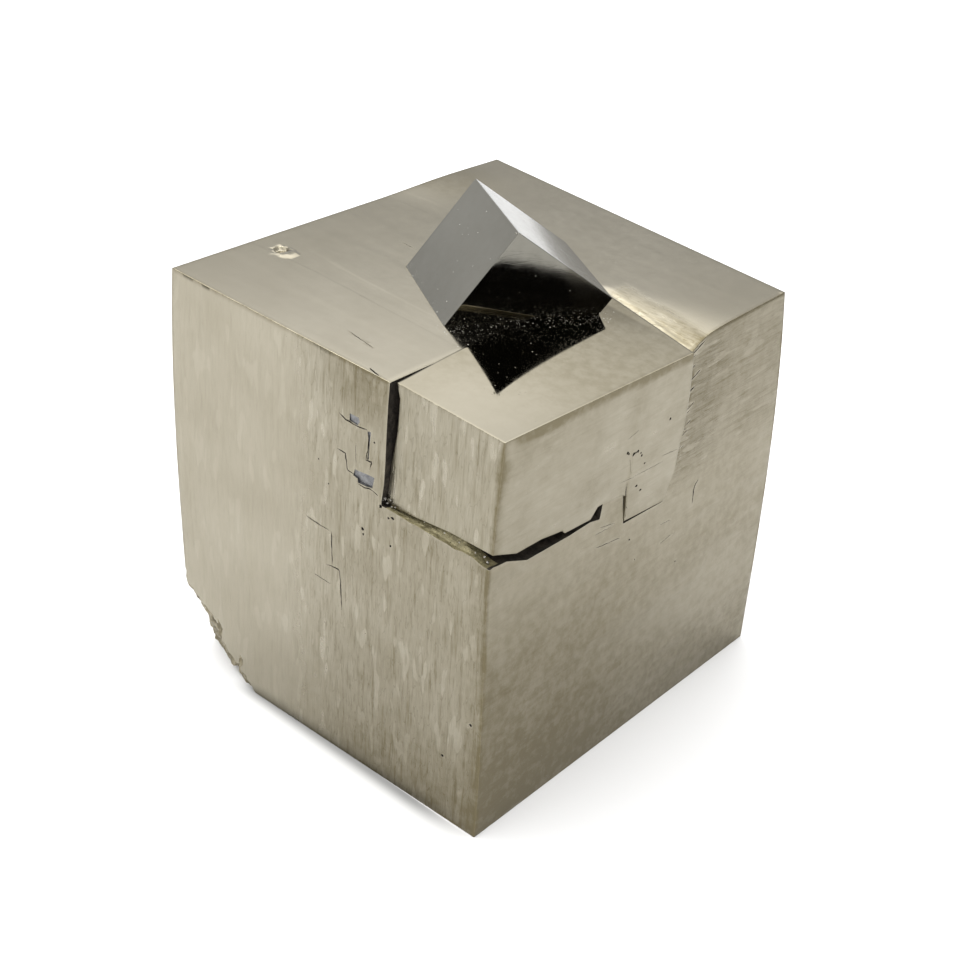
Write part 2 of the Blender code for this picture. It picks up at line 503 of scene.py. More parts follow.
# %% [markdown]
# ## The corner crystal
# The block in the front right top corner sits in its own hollow. Its underside is stepped where
# the two crystals press together, and its left and back sides follow the seam. Both the block
# and the hollow are drawn from the same seam lines, so they meet without overlapping.

# %% Seam lines between the corner crystal and the main crystal
main_low, main_high = box_of("main_crystal")
RIGHT, FRONT = main_high[0] - 0.2, main_low[1] + 0.7     # the two faces where they meet, in mm

# Along the +X face, going back from the front edge: the underside of the corner crystal, and
# the lip of the main crystal under it. Pairs of (y, z) in mm.
UNDERSIDE = np.array([(-24, 32.3), (-21.74, 32.13), (-18.42, 30.8), (-15.16, 30.74),
                      (-12.31, 30.29), (-11.93, 29.85), (-8.21, 29.55), (-7.29, 30.47),
                      (-6.46, 30.46), (-3.39, 29.99), (-3.06, 29.6), (-2.94, 26.95),
                      (3.2, 26.52), (4.4, 28.3), (8, 29.0)])
LIP = np.array([(-24, 30.6), (-21.86, 30.58), (-19.43, 30.34), (-16.64, 29.17), (-10.91, 29.02),
                (-8.05, 29.12), (-6.62, 28.8), (-6.40, 30.38), (-3.38, 29.92), (-3.07, 29.55),
                (-2.96, 26.67), (3.19, 26.46), (4.4, 28.25), (8, 28.9)])
# Along the front face, from left to right: how far the underside and the lip lie from their
# heights at the front upright edge. Pairs of (x, change) in mm.
UNDERSIDE_FRONT = np.array([(7, -1.0), (8.45, -0.93), (15.4, -0.13), (20.2, 0.0)])
LIP_FRONT = np.array([(7, 0.5), (8.54, 0.5), (13.98, 0.28), (19.5, 0.36), (20.2, -0.1)])
# The left side of the corner crystal and of its hollow, and its back side: (z, x) and (z, y).
LEFT_SIDE = np.array([(25, 7.6), (31.6, 7.55), (35.3, 7.85), (38.9, 8.44), (41.9, 8.53),
                      (43.2, 8.15)])
HOLLOW_LEFT = np.array([(25, 7.45), (31.6, 7.48), (33.5, 7.72), (35.6, 7.78), (41.8, 7.74),
                        (46, 7.82)])
BACK_SIDE = np.array([(26.4, 3.2), (28.3, 4.35), (31.1, 4.5), (32.6, 4.85), (36.9, 4.96),
                      (41.5, 4.68), (46, 4.3)])
BACK_SKEW = 0.17                  # the back side runs further back towards the left
SEAM, HAIR = 0.03, 0.008          # mm of air in a tight seam, and round the tilted crystal
# Heights in mm that the left and the back side start from at the bottom of the seam.
LEFT_FOOT, BACK_FOOT = 31.3, 26.5
BLOCK_LEFT_RISE, BLOCK_BACK_RISE = 11.9, 15.4      # mm from there to the top of the block


def along_line(line, at):
    """Read a line of pairs at some places."""
    return np.interp(at, line[:, 0], line[:, 1])


def underside(x, y):
    """Height of the corner crystal's underside."""
    front = along_line(UNDERSIDE_FRONT, x) * smooth(-14, -20, y)
    return along_line(UNDERSIDE, y) + front


def lip(x, y):
    """Height of the hollow's floor: open by the crack at the two faces and tight further in."""
    open_side = (along_line(UNDERSIDE, y) - along_line(LIP, y)) * smooth(-5.0, -0.5, x - RIGHT)
    at_front = (along_line(UNDERSIDE_FRONT, x) - along_line(LIP_FRONT, x)
                + UNDERSIDE[1, 1] - LIP[1, 1])
    at_front = np.maximum(at_front, 0) * smooth(1.15, 0.15, y - FRONT)
    crumbs = 0.12 * grain(x / 0.9, y / 0.9, 5) * smooth(0.2, 0.8, at_front)
    return underside(x, y) - np.maximum(np.maximum(open_side, at_front) + crumbs, SEAM)


def back_side(x, z):
    """The y of the corner crystal's back side."""
    return along_line(BACK_SIDE, z) + BACK_SKEW * (RIGHT - x)


TOP_ABOVE = 14.0                  # mm; the solid's points over that height belong to its top
corner_points = corners_of("corner_crystal")
corner_low, corner_high = box_of("corner_crystal")
upper = corner_points[corner_points[:, 2] > corner_low[2] + TOP_ABOVE]
plane = np.linalg.lstsq(np.c_[upper[:, :2], np.ones(len(upper))], upper[:, 2], rcond=None)[0]
print("corner crystal top: z =", plane.round(4), "for (x, y, 1)")


# %% Corner crystal
CORNER_ROUNDING = 0.06            # mm
CORNER_RELIEF = (0.010, 0.014, 0.0015)     # mm, for the sides that face X, Y and Z
BLOCK_WIDTH, BLOCK_DEPTH = 12.3, 26.5      # mm of its top
TOP_TWIST, TOP_CROWN = 0.55, 0.35          # mm


def top_of_corner(x, y):
    """Its top: the plane + a twist up to the back left + a slight crown along the left side."""
    left = np.clip((RIGHT - x) / BLOCK_WIDTH, 0, 1)
    back = np.clip((y - FRONT) / BLOCK_DEPTH, 0, 1)
    return (plane[0] * x + plane[1] * y + plane[2] + TOP_TWIST * left * back
            + TOP_CROWN * left * 4 * back * (1 - back))


def corner_shape(u, v, w):
    """Blend between the seam lines: u runs left to right, v front to back, w up, in mm."""
    across, share, rise = ((k - low) / (high - low)
                           for k, low, high in zip((u, v, w), corner_low, corner_high))
    front = FRONT + 0.62 - (1 - rise) * (0.25 + 0.25 * across)
    height = LEFT_FOOT + BLOCK_LEFT_RISE * rise
    wall = along_line(HOLLOW_LEFT, height) + SEAM
    open_by = along_line(LEFT_SIDE, height) - wall
    left = wall + np.maximum(open_by, 0) * smooth(0.36, -0.02, share)
    inset = 0.06 * (1 - share) + (1 - rise) * (0.10 + 0.20 * smooth(0.3, 0.7, share))
    x = left + across * (corner_high[0] - inset - left)
    y = front + share * (back_side(x, BACK_FOOT + BLOCK_BACK_RISE * rise) - front)
    bottom = underside(x, y)
    return x, y, bottom + rise * (top_of_corner(x, y) - bottom)


# Lines crowd at every step of the underside, so that its steps stay crisp.
corner_box = (corner_low, corner_high)
front_start = FRONT + 0.12
share_of_y = (UNDERSIDE[1:-1, 0] - front_start) / (back_side(RIGHT, BACK_FOOT) - front_start)
steps = corner_low[1] + share_of_y * (corner_high[1] - corner_low[1])
steps = steps[(steps > corner_low[1] + 0.5) & (steps < corner_high[1] - 0.5)]
params, quads, sides = lattice(
    crowded(corner_low[0], corner_high[0], 70, rim=0.05),
    crowded(corner_low[1], corner_high[1], 130, steps, steps + 0.04, rim=0.05),
    crowded(corner_low[2], corner_high[2], 80, rim=0.05))
corner_move = relief(np.stack(params, -1), corner_box, CORNER_RELIEF, 20, 2.2)
local = rounded(params, *corner_box, CORNER_ROUNDING) + corner_move
corner = make_object("corner_block_of_pyrite", np.stack(corner_shape(*local.T), -1), quads, sides,
                     rim=rim_nearness(np.stack(params, -1), corner_box))
report_shell(corner)


# %% [markdown]
# ## The main crystal
# The large cube is drawn between its four upright edges. Each edge is a cubic through four
# measured points, so the faces warp a little, as grown faces do. On top of the striae it has a
# low fold across its top, a bevelled strip behind the corner crystal, and a flaked pit.

# %% Upright edges
# How far each upright edge stands in from the sides of the solid's box, in mm, and its height.
EDGES = {(0, 0): ((1.1, 0, 0), (0.3, 0, 16), (0, 0, 30), (0, 0.5, 44.0)),
         (1, 0): ((0, 0.8, 0), (0.1, 0.8, 16), (0.3, 0.7, 30.6), (0, 1.0, 43.2)),
         (1, 1): ((0.7, 0, 0), (0.2, 0.8, 16), (0.4, 1.0, 28.7), (1.0, 1.8, 42.4)),
         (0, 1): ((0.6, 0.2, 0), (0.7, 0.2, 16), (0.9, 0.2, 30), (1.1, 0.4, 43.5))}


def cubic_through(heights, values, z):
    """The one cubic through four points, as the sum of value times its Lagrange weight."""
    total = 0.0
    for i, value in enumerate(values):
        weight = 1.0
        for j, other in enumerate(heights):
            if j != i:
                weight = weight * (z - other) / (heights[i] - other)
        total = total + value * weight
    return total


def main_frame(u, v, w):
    """Blend the four upright edges; u, v and w run from 0 to 1 along X, Y and Z."""
    total = np.zeros(u.shape + (3,))
    for (right, back), points in EDGES.items():
        inset_x, inset_y, heights = np.array(points, float).T
        z = w * heights[-1]
        x = cubic_through(heights, inset_x, z)
        y = cubic_through(heights, inset_y, z)
        edge = np.stack([main_high[0] - x if right else main_low[0] + x,
                         main_high[1] - y if back else main_low[1] + y, z], -1)
        share = (u if right else 1 - u) * (v if back else 1 - v)
        total += edge * share[..., None]
    return total


# %% Main crystal
MAIN_ROUNDING = 0.07              # mm, like every length below
MAIN_RELIEF = (0.014, 0.016, 0.0015)       # for the sides that face X, Y and Z
MAIN_BLOCK = (40.4, 44.2, 44.0)            # the plain block before it is drawn between the edges
BEVEL_DROP, BEVEL_WIDTH = 1.15, 1.2        # the strip behind the corner crystal
BEVEL_LEVEL = 42.0                         # the height at which the strip follows the back side
FOLD_Y, FOLD_RISE = 13.8, 0.15
PIT, PIT_REACH = (-16.76, -11.46), (1.35, 0.85)


def top_form(x, y):
    """Rise of the top in mm: fold - bevel - pit + flakes round the pit."""
    fold = FOLD_RISE * smooth(9.5, 0, abs(y - FOLD_Y)) * smooth(-12, -20.5, x)
    strength = np.clip(0.3 + 0.9 * (x - 9) / 10.5, 0, 1.2) * smooth(7.6, 9.2, x)
    behind = np.maximum(0, y - back_side(x, BEVEL_LEVEL) - 0.4)
    bevel = BEVEL_DROP * strength * np.exp(-behind / (BEVEL_WIDTH * np.maximum(strength, 0.2)))
    bevel = bevel + 0.08 * strength * grain(behind / 0.26, x / 8, 8) * smooth(3.2, 0.5, behind)
    a, b = (x - PIT[0]) / PIT_REACH[0], (y - PIT[1]) / PIT_REACH[1]
    reach = np.hypot(a, b) + 0.25 * grain(x / 0.5, y / 0.4, 61)
    pit = 0.38 * smooth(1.0, 0.55, reach) * smooth(0.7, -0.5, a)
    towards_right = smooth(-0.6, 0.8, a + 0.4 * grain(x / 0.35, y / 0.3, 62))
    flakes = 0.16 * smooth(1.35, 0.9, reach) * towards_right
    return fold - bevel - pit + flakes


def growth_layers(x, y, z, axis):
    """Low growth layers with crisp rims, at most a few hundredths of a millimetre high, on the
    two sides that face an axis."""
    if axis == 0:
        return 0.020 * terraces(z, y, 75, 2.6, 6.0, 0.02)
    if axis == 1:
        return 0.022 * terraces(x, z, 71, 3.4, 8.0, 0.02)
    return 0.002 * terraces(y, x, 79, 3.6, 8.0, 0.02)


box = (np.zeros(3), np.array(MAIN_BLOCK))
pit_lines = np.arange(-2.0, 2.0, 0.13)         # crowded at the pit
bevel_lines = np.arange(27.2, 31.0, 0.15)      # and across the bevelled strip
params, quads, sides = lattice(
    crowded(0, box[1][0], 92, pit_lines + PIT[0] - main_low[0], rim=0.05),
    crowded(0, box[1][1], 100, pit_lines * 0.8 + PIT[1] - main_low[1], bevel_lines, rim=0.05),
    crowded(0, box[1][2], 98, rim=0.05))
main_points = np.stack(params, -1)
main_move = relief(main_points, box, MAIN_RELIEF, 1, 2.6)
unit = rounded(params, *box, MAIN_ROUNDING) / box[1]
shaped = main_frame(*unit.T)
for axis in range(3):
    layers = growth_layers(*shaped.T, axis) * smooth(0, 0.5, rim_distance(main_points, axis, *box))
    for side, outwards in zip(box, (-1.0, 1.0)):
        on_side = np.abs(main_points[:, axis] - side[axis]) < 1e-9
        main_move[:, axis] += outwards * on_side * layers
top_share = smooth(0.9, 1.0, unit[:, 2])
shaped = shaped + main_move
shaped[:, 2] += top_form(shaped[:, 0], shaped[:, 1]) * top_share
main = make_object("main_cube_of_pyrite", shaped, quads, sides,
                   rim=rim_nearness(main_points, box))
report_shell(main)


# %% [markdown]
# ## Breaks and seams
# The hollow for the corner crystal, the pocket of the tilted crystal and the broken lower corner
# are cut with closed blocks. The chip's block has a rough shell-like sheet on its inner side,
# because pyrite has no cleavage and breaks in curved, hackly steps.

# %% Hollow, pocket and chip
CRACK, BROKEN, FLAKE, SEAM_EARTH = range(1, 5)     # finishes by place; 0 is the pyrite itself
HOLLOW_PAST = 4.0                 # mm that the hollow's block runs out past the faces
HOLLOW_TOP, HOLLOW_LEFT_RISE, HOLLOW_BACK_RISE = 46.5, 15.2, 20.0     # mm
EARTH_REACH, EARTH_LEFT, EARTH_RIGHT = 1.6, 8.0, 0.45     # mm that seam earth keeps within
CHIP_THICK = 25.0                 # mm of the block behind the chip's rough sheet


def hollow_shape(u, v, rise):
    """The hollow: its left wall, its back wall and the lip as floor, open to the other sides."""
    left = along_line(HOLLOW_LEFT, LEFT_FOOT + HOLLOW_LEFT_RISE * rise)
    x = left + u * (main_high[0] + HOLLOW_PAST - left)
    back = back_side(x, BACK_FOOT + HOLLOW_BACK_RISE * rise) + SEAM
    y = FRONT - HOLLOW_PAST + v * (back - FRONT + HOLLOW_PAST)
    lip_here = lip(x, y)
    return x, y, lip_here + rise * (HOLLOW_TOP - lip_here)


def pocket_shape(u, v, w):
    """The tilted crystal, larger by a hair on every side."""
    return tilted_shape(*((k * (tilted_edge + 2 * HAIR) - HAIR) for k in (u, v, w))).T


# The break passes through three points, given from the low corner of the solid's box.
CHIP_POINTS = (main_low + (0.4, 0, 11.4), main_low + (10.3, 0.2, 0), main_low + (1.05, 3.5, 0))
chip_along = CHIP_POINTS[1] - CHIP_POINTS[0]
chip_length = np.linalg.norm(chip_along)
chip_along = chip_along / chip_length
chip_out = np.cross(chip_along, CHIP_POINTS[2] - CHIP_POINTS[0])
chip_out *= np.sign(-chip_out[1]) / np.linalg.norm(chip_out)
chip_across = np.cross(chip_out, chip_along)


def chip_shape(u, v, w):
    """A sheet through the three break points: shell-like steps + hackle, then a plain block."""
    hackle = (0.34 * grain(u / 1.9, v / 1.3, 31) + 0.20 * abs(grain(u / 0.85, v / 0.7, 32))
              + 0.10 * grain(u / 0.34, v / 0.3, 33) + 0.05 * grain(u / 0.16, v / 0.15, 34))
    wavy = u / 2.6 + 0.3 * grain(v / 0.8, u / 0.8, 36)
    steps_in = 0.3 * smooth(-0.1, 0.1, grain(wavy, v / 2.2, 35))
    bulge = -0.2 * np.exp(-((u - 12.5) / 2.2) ** 2) + 0.2 * np.exp(-((u + 0.4) / 2.5) ** 2)
    sheet = (hackle + steps_in + bulge - 0.20) * (w <= 0) + w
    place = [np.multiply.outer(k, axis) for k, axis in
             ((u, chip_along), (v, chip_across), (sheet, chip_out))]
    return (CHIP_POINTS[0] + sum(place)).T


hollow_depth = back_side(RIGHT, BACK_FOOT) + SEAM - FRONT + HOLLOW_PAST
lip_places = np.concatenate([LIP[1:-1, 0], UNDERSIDE[1:-1, 0]])
lip_places = (lip_places - FRONT + HOLLOW_PAST) / hollow_depth
hollow_lines = [np.linspace(0, 1, 64), crowded(0, 1, 96, lip_places[lip_places < 0.99], rim=0.001),
                np.linspace(0, 1, 40)]
hollow = block_tool("corner_hollow", hollow_lines, hollow_shape)
middles = np.array([list(p.center) for p in hollow.data.polygons]) / MM
near_front = ((middles[:, 1] < FRONT + EARTH_REACH) & (middles[:, 0] < RIGHT - EARTH_RIGHT)
              & (middles[:, 0] > EARTH_LEFT))
hollow.data.polygons.foreach_set("material_index", np.where(near_front, SEAM_EARTH, CRACK))
boolean(main, hollow)
for crystal in (main, corner):
    boolean(crystal, block_tool("tilted_pocket", [np.linspace(0, 1, 3)] * 3, pocket_shape))
# The sheet runs past the crystal on every side, so its rims never show.
chip_lines = [np.linspace(-8, chip_length + 6, 190), np.linspace(-9, 14, 150),
              np.array([0, CHIP_THICK])]
boolean(main, block_tool("chip", chip_lines, chip_shape, BROKEN))
for piece in (main, corner, tilted):
    report_shell(piece)
    print(piece.name, "finishes used:", len(set(p.material_index for p in piece.data.polygons)))


# %% [markdown]
# ## Cracks, fresh facets and scratches
# Fine cracks step across the faces where the cluster was knocked, and small facets have flaked
# off beside them. A crack is a thin wedge carried along a line of points and cut out of the
# crystal; a facet is cut with a shallow prism whose inner side is tilted.

# %% Tools that work on a face
# Each face has two directions that lie in it and one that points out of the crystal.
FACES = {"front": (np.array([1.0, 0, 0]), np.array([0, 0, 1.0]), np.array([0, -1.0, 0])),
         "right": (np.array([0, 1.0, 0]), np.array([0, 0, 1.0]), np.array([1.0, 0, 0])),
         "top": (np.array([1.0, 0, 0]), np.array([0, 1.0, 0]), np.array([0, 0, 1.0]))}
PROBE_START = 80                  # mm; a probe starts that far outside
BLADE_STEP, BLADE_OUTSIDE, BLADE_ROOT = 0.22, 0.25, 0.3     # mm, mm, share of the width
SCAR_LEAST, SCAR_OUTSIDE = 0.015, 0.4      # mm below the face at least, and mm outside it


def face_height(crystal, face, places):
    """Where a face of a crystal lies under some places on it, by a straight probe from outside."""
    one, two, out = FACES[face]
    heights = []
    for a, b in places:
        start = (one * a + two * b + out * PROBE_START) * MM
        hit, point, _, _ = crystal.ray_cast(Vector(start), Vector(-out))
        heights.append(np.dot(np.array(point) / MM, out) if hit else np.nan)
    heights = np.array(heights)
    return np.where(np.isnan(heights), np.nanmedian(heights), heights)


def blade(crystal, face, places, width, depth):
    """A crack: at each place the section is a wedge, width wide at the face and narrower at
    depth, with both ends drawn out thin. Returns its points in mm and its faces."""
    one, two, out = FACES[face]
    places = np.array(places, float)
    surface = face_height(crystal, face, places)
    length = np.r_[0, np.cumsum(np.hypot(*np.diff(places, axis=0).T))]
    count = max(3, int(length[-1] / BLADE_STEP))
    at = np.linspace(0, length[-1], count)
    line = np.stack([np.interp(at, length, places[:, k]) for k in (0, 1)], -1)
    line += 0.035 * np.stack([grain(at / 0.3, places[0, 0], 91), grain(at / 0.3, 5, 92)], -1)
    surface = np.interp(at, length, surface)
    heading = np.gradient(line, axis=0)
    heading /= np.linalg.norm(heading, axis=1, keepdims=True)
    normal = np.stack([-heading[:, 1], heading[:, 0]], -1)
    taper = smooth(0, 0.16, at / length[-1]) * smooth(1, 0.84, at / length[-1])
    half = (0.18 + 0.82 * taper) * (1 + 0.5 * grain(at / 0.5, 2, 93)) * width / 2
    rings = []
    for side, level in ((-1, BLADE_OUTSIDE), (1, BLADE_OUTSIDE),
                        (BLADE_ROOT, -depth), (-BLADE_ROOT, -depth)):
        spread = line + normal * (side * half)[:, None]
        rings.append(spread[:, :1] * one + spread[:, 1:] * two + (surface + level)[:, None] * out)
    points = np.stack(rings, 1).reshape(-1, 3)
    faces = [(0, 1, 2, 3), tuple(4 * (count - 1) + k for k in (3, 2, 1, 0))]
    for i in range(count - 1):
        for k in range(4):
            n = (k + 1) % 4
            faces.append((4 * i + n, 4 * i + k, 4 * i + 4 + k, 4 * i + 4 + n))
    return points, faces


def facet(crystal, face, outline, depth, tilt=(0.0, 0.0)):
    """A flake scar: a prism over the outline whose inner side lies depth below the face and
    slopes by tilt, but keeps below it. Returns its points in mm and its faces."""
    one, two, out = FACES[face]
    outline = np.array(outline, float)
    surface = face_height(crystal, face, outline).mean()
    off = outline - outline.mean(0)
    inner = surface - depth + off @ np.array(tilt)
    inner = np.minimum(inner, surface - SCAR_LEAST)
    points = np.concatenate([outline[:, :1] * one + outline[:, 1:] * two + level[:, None] * out
                             for level in (np.full(len(outline), surface + SCAR_OUTSIDE), inner)])
    n = len(outline)
    faces = [tuple(range(n)), tuple(range(2 * n - 1, n - 1, -1))]
    faces += [(n + k, n + (k + 1) % n, (k + 1) % n, k) for k in range(n)]
    return points, faces


def cut_all(crystal, name, shapes, slot_index):
    """Cut a set of closed shapes out of a crystal with one tool."""
    points, faces, first = [], [], 0
    for shape_points, shape_faces in shapes:
        points.append(shape_points)
        faces += [tuple(first + k for k in one) for one in shape_faces]
        first += len(shape_points)
    mesh = bpy.data.meshes.new(name)
    mesh.from_pydata(np.concatenate(points) * MM, [], faces)
    mesh.uv_layers.new(name="striae")
    tool = bpy.data.objects.new(name, mesh)
    bpy.context.scene.collection.objects.link(tool)
    shell = bmesh.new()
    shell.from_mesh(mesh)
    bmesh.ops.recalc_face_normals(shell, faces=shell.faces[:])
    shell.to_mesh(mesh)
    shell.free()
    mesh.polygons.foreach_set("material_index", np.full(len(mesh.polygons), slot_index))
    bpy.context.view_layer.update()
    boolean(crystal, tool)


# %% Cracks of the main crystal
FRONT_CRACKS = [     # (places as x, z in mm; width; depth)
    ([(1.92, 38.12), (2.77, 37.81), (3.28, 37.80), (4.28, 37.72), (5.44, 37.86)], 0.13, 0.5),
    ([(5.69, 37.86), (5.68, 36.37), (5.43, 34.83), (5.9, 34.9), (6.18, 34.96), (5.95, 34.1)],
     0.12, 0.5),
    ([(1.89, 34.46), (2.91, 34.44), (3.1, 33.5), (3.19, 32.83), (4.05, 32.75)], 0.12, 0.5),
    ([(4.15, 35.96), (4.2, 34.8), (4.29, 33.5)], 0.05, 0.3),
    ([(4.45, 32.0), (5.4, 31.98), (6.2, 32.18), (7.0, 31.9), (7.9, 31.6)], 0.10, 0.6),
    ([(-1.98, 25.48), (-0.4, 25.36), (0.99, 25.31)], 0.10, 0.4),
    ([(1.31, 25.32), (1.38, 23.4), (1.47, 21.75)], 0.12, 0.4),
    ([(0.67, 21.31), (1.47, 21.5), (2.40, 21.56), (2.57, 20.09), (2.7, 17.1)], 0.12, 0.4),
    ([(-0.87, 19.44), (0.2, 19.4), (1.23, 19.38)], 0.06, 0.3),
]
RIGHT_CRACKS = [     # (places as y, z in mm; width; depth)
    ([(-6.56, 27.8), (-5.3, 27.55), (-4.21, 27.36)], 0.06, 0.12),
    ([(-7.2, 27.28), (-5.8, 27.24), (-4.43, 27.19)], 0.05, 0.10),
    ([(-6.87, 25.76), (-5.0, 25.5), (-3.15, 25.21)], 0.08, 0.15),
    ([(3.03, 23.76), (3.9, 23.72), (4.74, 23.64)], 0.05, 0.10),
    ([(3.31, 21.42), (4.4, 21.65), (5.61, 21.8)], 0.06, 0.12),
    ([(8.75, 26.5), (8.35, 26.1), (8.12, 25.5), (8.16, 24.7), (8.2, 23.92)], 0.14, 0.3),
]
TOP_CRACKS = [       # (places as x, y in mm; width; depth)
    ([(-1.05, -17.85), (0.7, -18.1), (2.49, -18.36)], 0.10, 0.12),
    ([(-11.04, -1.1), (-10.3, -1.12), (-9.53, -1.11)], 0.08, 0.10),
    ([(4.85, -21.15), (5.6, -21.3), (6.3, -21.42)], 0.20, 0.15),
]
CORNER_CRACKS = [    # on the +X face of the corner crystal (places as y, z in mm; width; depth)
    ([(-4.0, 36.23), (-3.3, 36.4), (-2.52, 36.66)], 0.05, 0.10),
    ([(1.68, 32.12), (2.9, 32.0), (4.2, 31.86)], 0.05, 0.10),
    ([(-4.38, 31.67), (-2.4, 31.6), (-0.2, 31.5), (2.06, 31.42)], 0.05, 0.08),
    ([(4.72, 31.4), (4.85, 30.6), (4.60, 29.6), (4.5, 28.6)], 0.14, 0.3),
]
CRACK_WIDENING = 1.35             # a crack is cut wider than its table says by that factor
STROKES, STROKE_TOP, STROKE_PITCH = 16, 41.2, 0.72     # number; mm; mm
STROKE_LENGTHS = (1.7, 0.7, 1.1, 0.5)     # mm, taken in turn and shorter lower down


def stroke(k):
    """A short crack that starts at the seam behind the corner crystal and climbs backwards."""
    z = STROKE_TOP - STROKE_PITCH * k + 0.3 * np.sin(2.3 * k)
    y = along_line(BACK_SIDE, z) + 0.35 + 0.25 * np.cos(5 * k)
    length = STROKE_LENGTHS[k % 4] * (1.2 - 0.045 * k)
    places = [(y, z), (y + 0.5 * length, z + 0.2 * length), (y + length, z + 0.42 * length)]
    return places, 0.15 - 0.004 * k, 0.2


def blades(crystal, face, group):
    """One blade for each row of a table."""
    return [blade(crystal, face, places, width * CRACK_WIDENING, depth)
            for places, width, depth in group]


RIGHT_CRACKS += [stroke(k) for k in range(STROKES)]
main_blades = (blades(main, "front", FRONT_CRACKS) + blades(main, "right", RIGHT_CRACKS)
               + blades(main, "top", TOP_CRACKS))
cut_all(main, "crack_blades", main_blades, CRACK)
cut_all(corner, "corner_blades", blades(corner, "right", CORNER_CRACKS), CRACK)


# %% Flake scars
PIT_GROWTH = 1.3                  # a pit is cut larger than its table says by that factor


def speck(a, b, size, seed):
    """An outline of six points round a place, for a pit where a crumb fell out."""
    turn = np.arange(6) * np.pi / 3
    reach = PIT_GROWTH * size * (1 + 0.45 * grain(turn * 1.7, seed * 3.1, 40))
    return np.stack([a + reach * np.cos(turn), b + reach * np.sin(turn)], -1)


def pits(crystal, face, group, depth):
    """One small scar for each row of a table."""
    return [facet(crystal, face, speck(a, b, size, seed), depth)
            for seed, (a, b, size) in enumerate(group)]


FRONT_FACETS = [     # (outline as x, z in mm; depth; slope of the inner side)
    ([(3.26, 38.63), (4.35, 38.63), (4.52, 38.3), (4.28, 37.84), (3.28, 37.92)], 0.06, (0.02, 0.06)),
    ([(5.49, 37.76), (5.89, 37.82), (5.81, 36.43), (5.76, 34.99), (5.60, 35.0), (5.74, 36.4)],
     0.07, (0.15, 0.0)),
    ([(4.12, 33.32), (6.55, 33.55), (6.33, 32.33), (5.58, 32.20), (4.57, 32.14), (4.51, 32.52),
      (3.96, 32.62)], 0.12, (-0.01, 0.12)),
]
# Pits as (x or y, z, size), in mm.
FRONT_PITS = [(5.27, 27.55, 0.13), (5.37, 27.01, 0.1), (8.75, 27.4, 0.1), (6.37, 37.02, 0.09),
              (-0.44, 32.36, 0.07), (0.89, 30.34, 0.07), (19.13, 12.91, 0.14),
              (15.97, 7.35, 0.12), (8.9, 30.4, 0.16), (8.4, 30.2, 0.12), (7.4, 31.0, 0.15)]
RIGHT_PITS = [(-1.72, 24.33, 0.08), (-0.5, 21.5, 0.06), (6.4, 18.0, 0.07)]
CORNER_PITS = [(-3.73, 34.71, 0.12), (-3.5, 34.5, 0.10), (-2.79, 34.21, 0.16), (-2.5, 34.27, 0.1),
               (-2.22, 34.29, 0.14), (-1.51, 33.57, 0.11), (-1.7, 33.9, 0.09), (-0.89, 32.45, 0.09),
               (-1.72, 30.33, 0.14), (-1.01, 29.58, 0.12), (2.24, 35.97, 0.12)]
# The splinter missing from the left wall of the upright crack, as x, z in mm.
SPLINTER = [(7.12, 36.95), (7.30, 35.6), (7.60, 34.6), (7.78, 33.4), (7.80, 32.3), (7.10, 32.1),
            (7.12, 33.4), (7.20, 34.8)]
SPLINTER_DEPTH, MAIN_PIT_DEPTH, CORNER_PIT_DEPTH = 0.45, 0.16, 0.12     # mm

scars = [facet(main, "front", outline, depth, tilt) for outline, depth, tilt in FRONT_FACETS]
cut_all(main, "flake_scars", scars, FLAKE)
cut_all(main, "splinter", [facet(main, "front", SPLINTER, SPLINTER_DEPTH)], CRACK)
cut_all(main, "pits", (pits(main, "front", FRONT_PITS, MAIN_PIT_DEPTH)
                       + pits(main, "right", RIGHT_PITS, MAIN_PIT_DEPTH)), CRACK)
cut_all(corner, "dendrite", pits(corner, "right", CORNER_PITS, CORNER_PIT_DEPTH), CRACK)
for piece in (main, corner):
    drop_slivers(piece)
    report_shell(piece)


# %% [markdown]
# ## Crumbs
# A few crumbs of pyrite lie in the corner of the crack and on the highest corner of the tilted
# crystal. Each is a small lattice block pushed onto a lumpy ball; all of them are one mesh.

# %% Crumbs
CRUMBS = [           # (x, offset from the front face in y, z, size), in mm
    (7.3, 0.05, 32.0, 0.16), (7.62, 0.12, 31.72, 0.22), (7.95, 0.1, 31.45, 0.20),
    (8.15, 0.25, 31.75, 0.15), (8.45, 0.15, 31.25, 0.17), (8.3, 0.05, 31.0, 0.10),
    (8.8, 0.2, 31.35, 0.13), (7.5, 0.0, 31.55, 0.09), (9.3, 0.3, 31.4, 0.09),
    (12.2, 0.35, 31.4, 0.09), (14.6, 0.35, 31.45, 0.10), (16.4, 0.3, 31.4, 0.11),
    (18.3, 0.25, 31.3, 0.14), (19.3, 0.3, 31.35, 0.16), (19.75, 0.2, 31.1, 0.18)]
CRUMB_GIRTH = np.array([1.0, 0.8, 0.75]) * 0.65     # half widths as shares of a crumb's size


def crumb(centre, size, seed):
    """A block pushed onto a lumpy ball: p' = centre + size girth (1 + noise) p / |p|."""
    lines = np.linspace(-1, 1, 6)
    params, quads, sides = lattice(lines, lines, lines)
    away = np.stack(params, -1)
    away /= np.linalg.norm(away, axis=1, keepdims=True)
    lump = 1 + 0.6 * grain(away[:, 0] * 1.7 + seed, away[:, 1] * 1.7 + 2 * away[:, 2], 140 + seed)
    return np.array(centre) + size * CRUMB_GIRTH * lump[:, None] * away, quads, sides


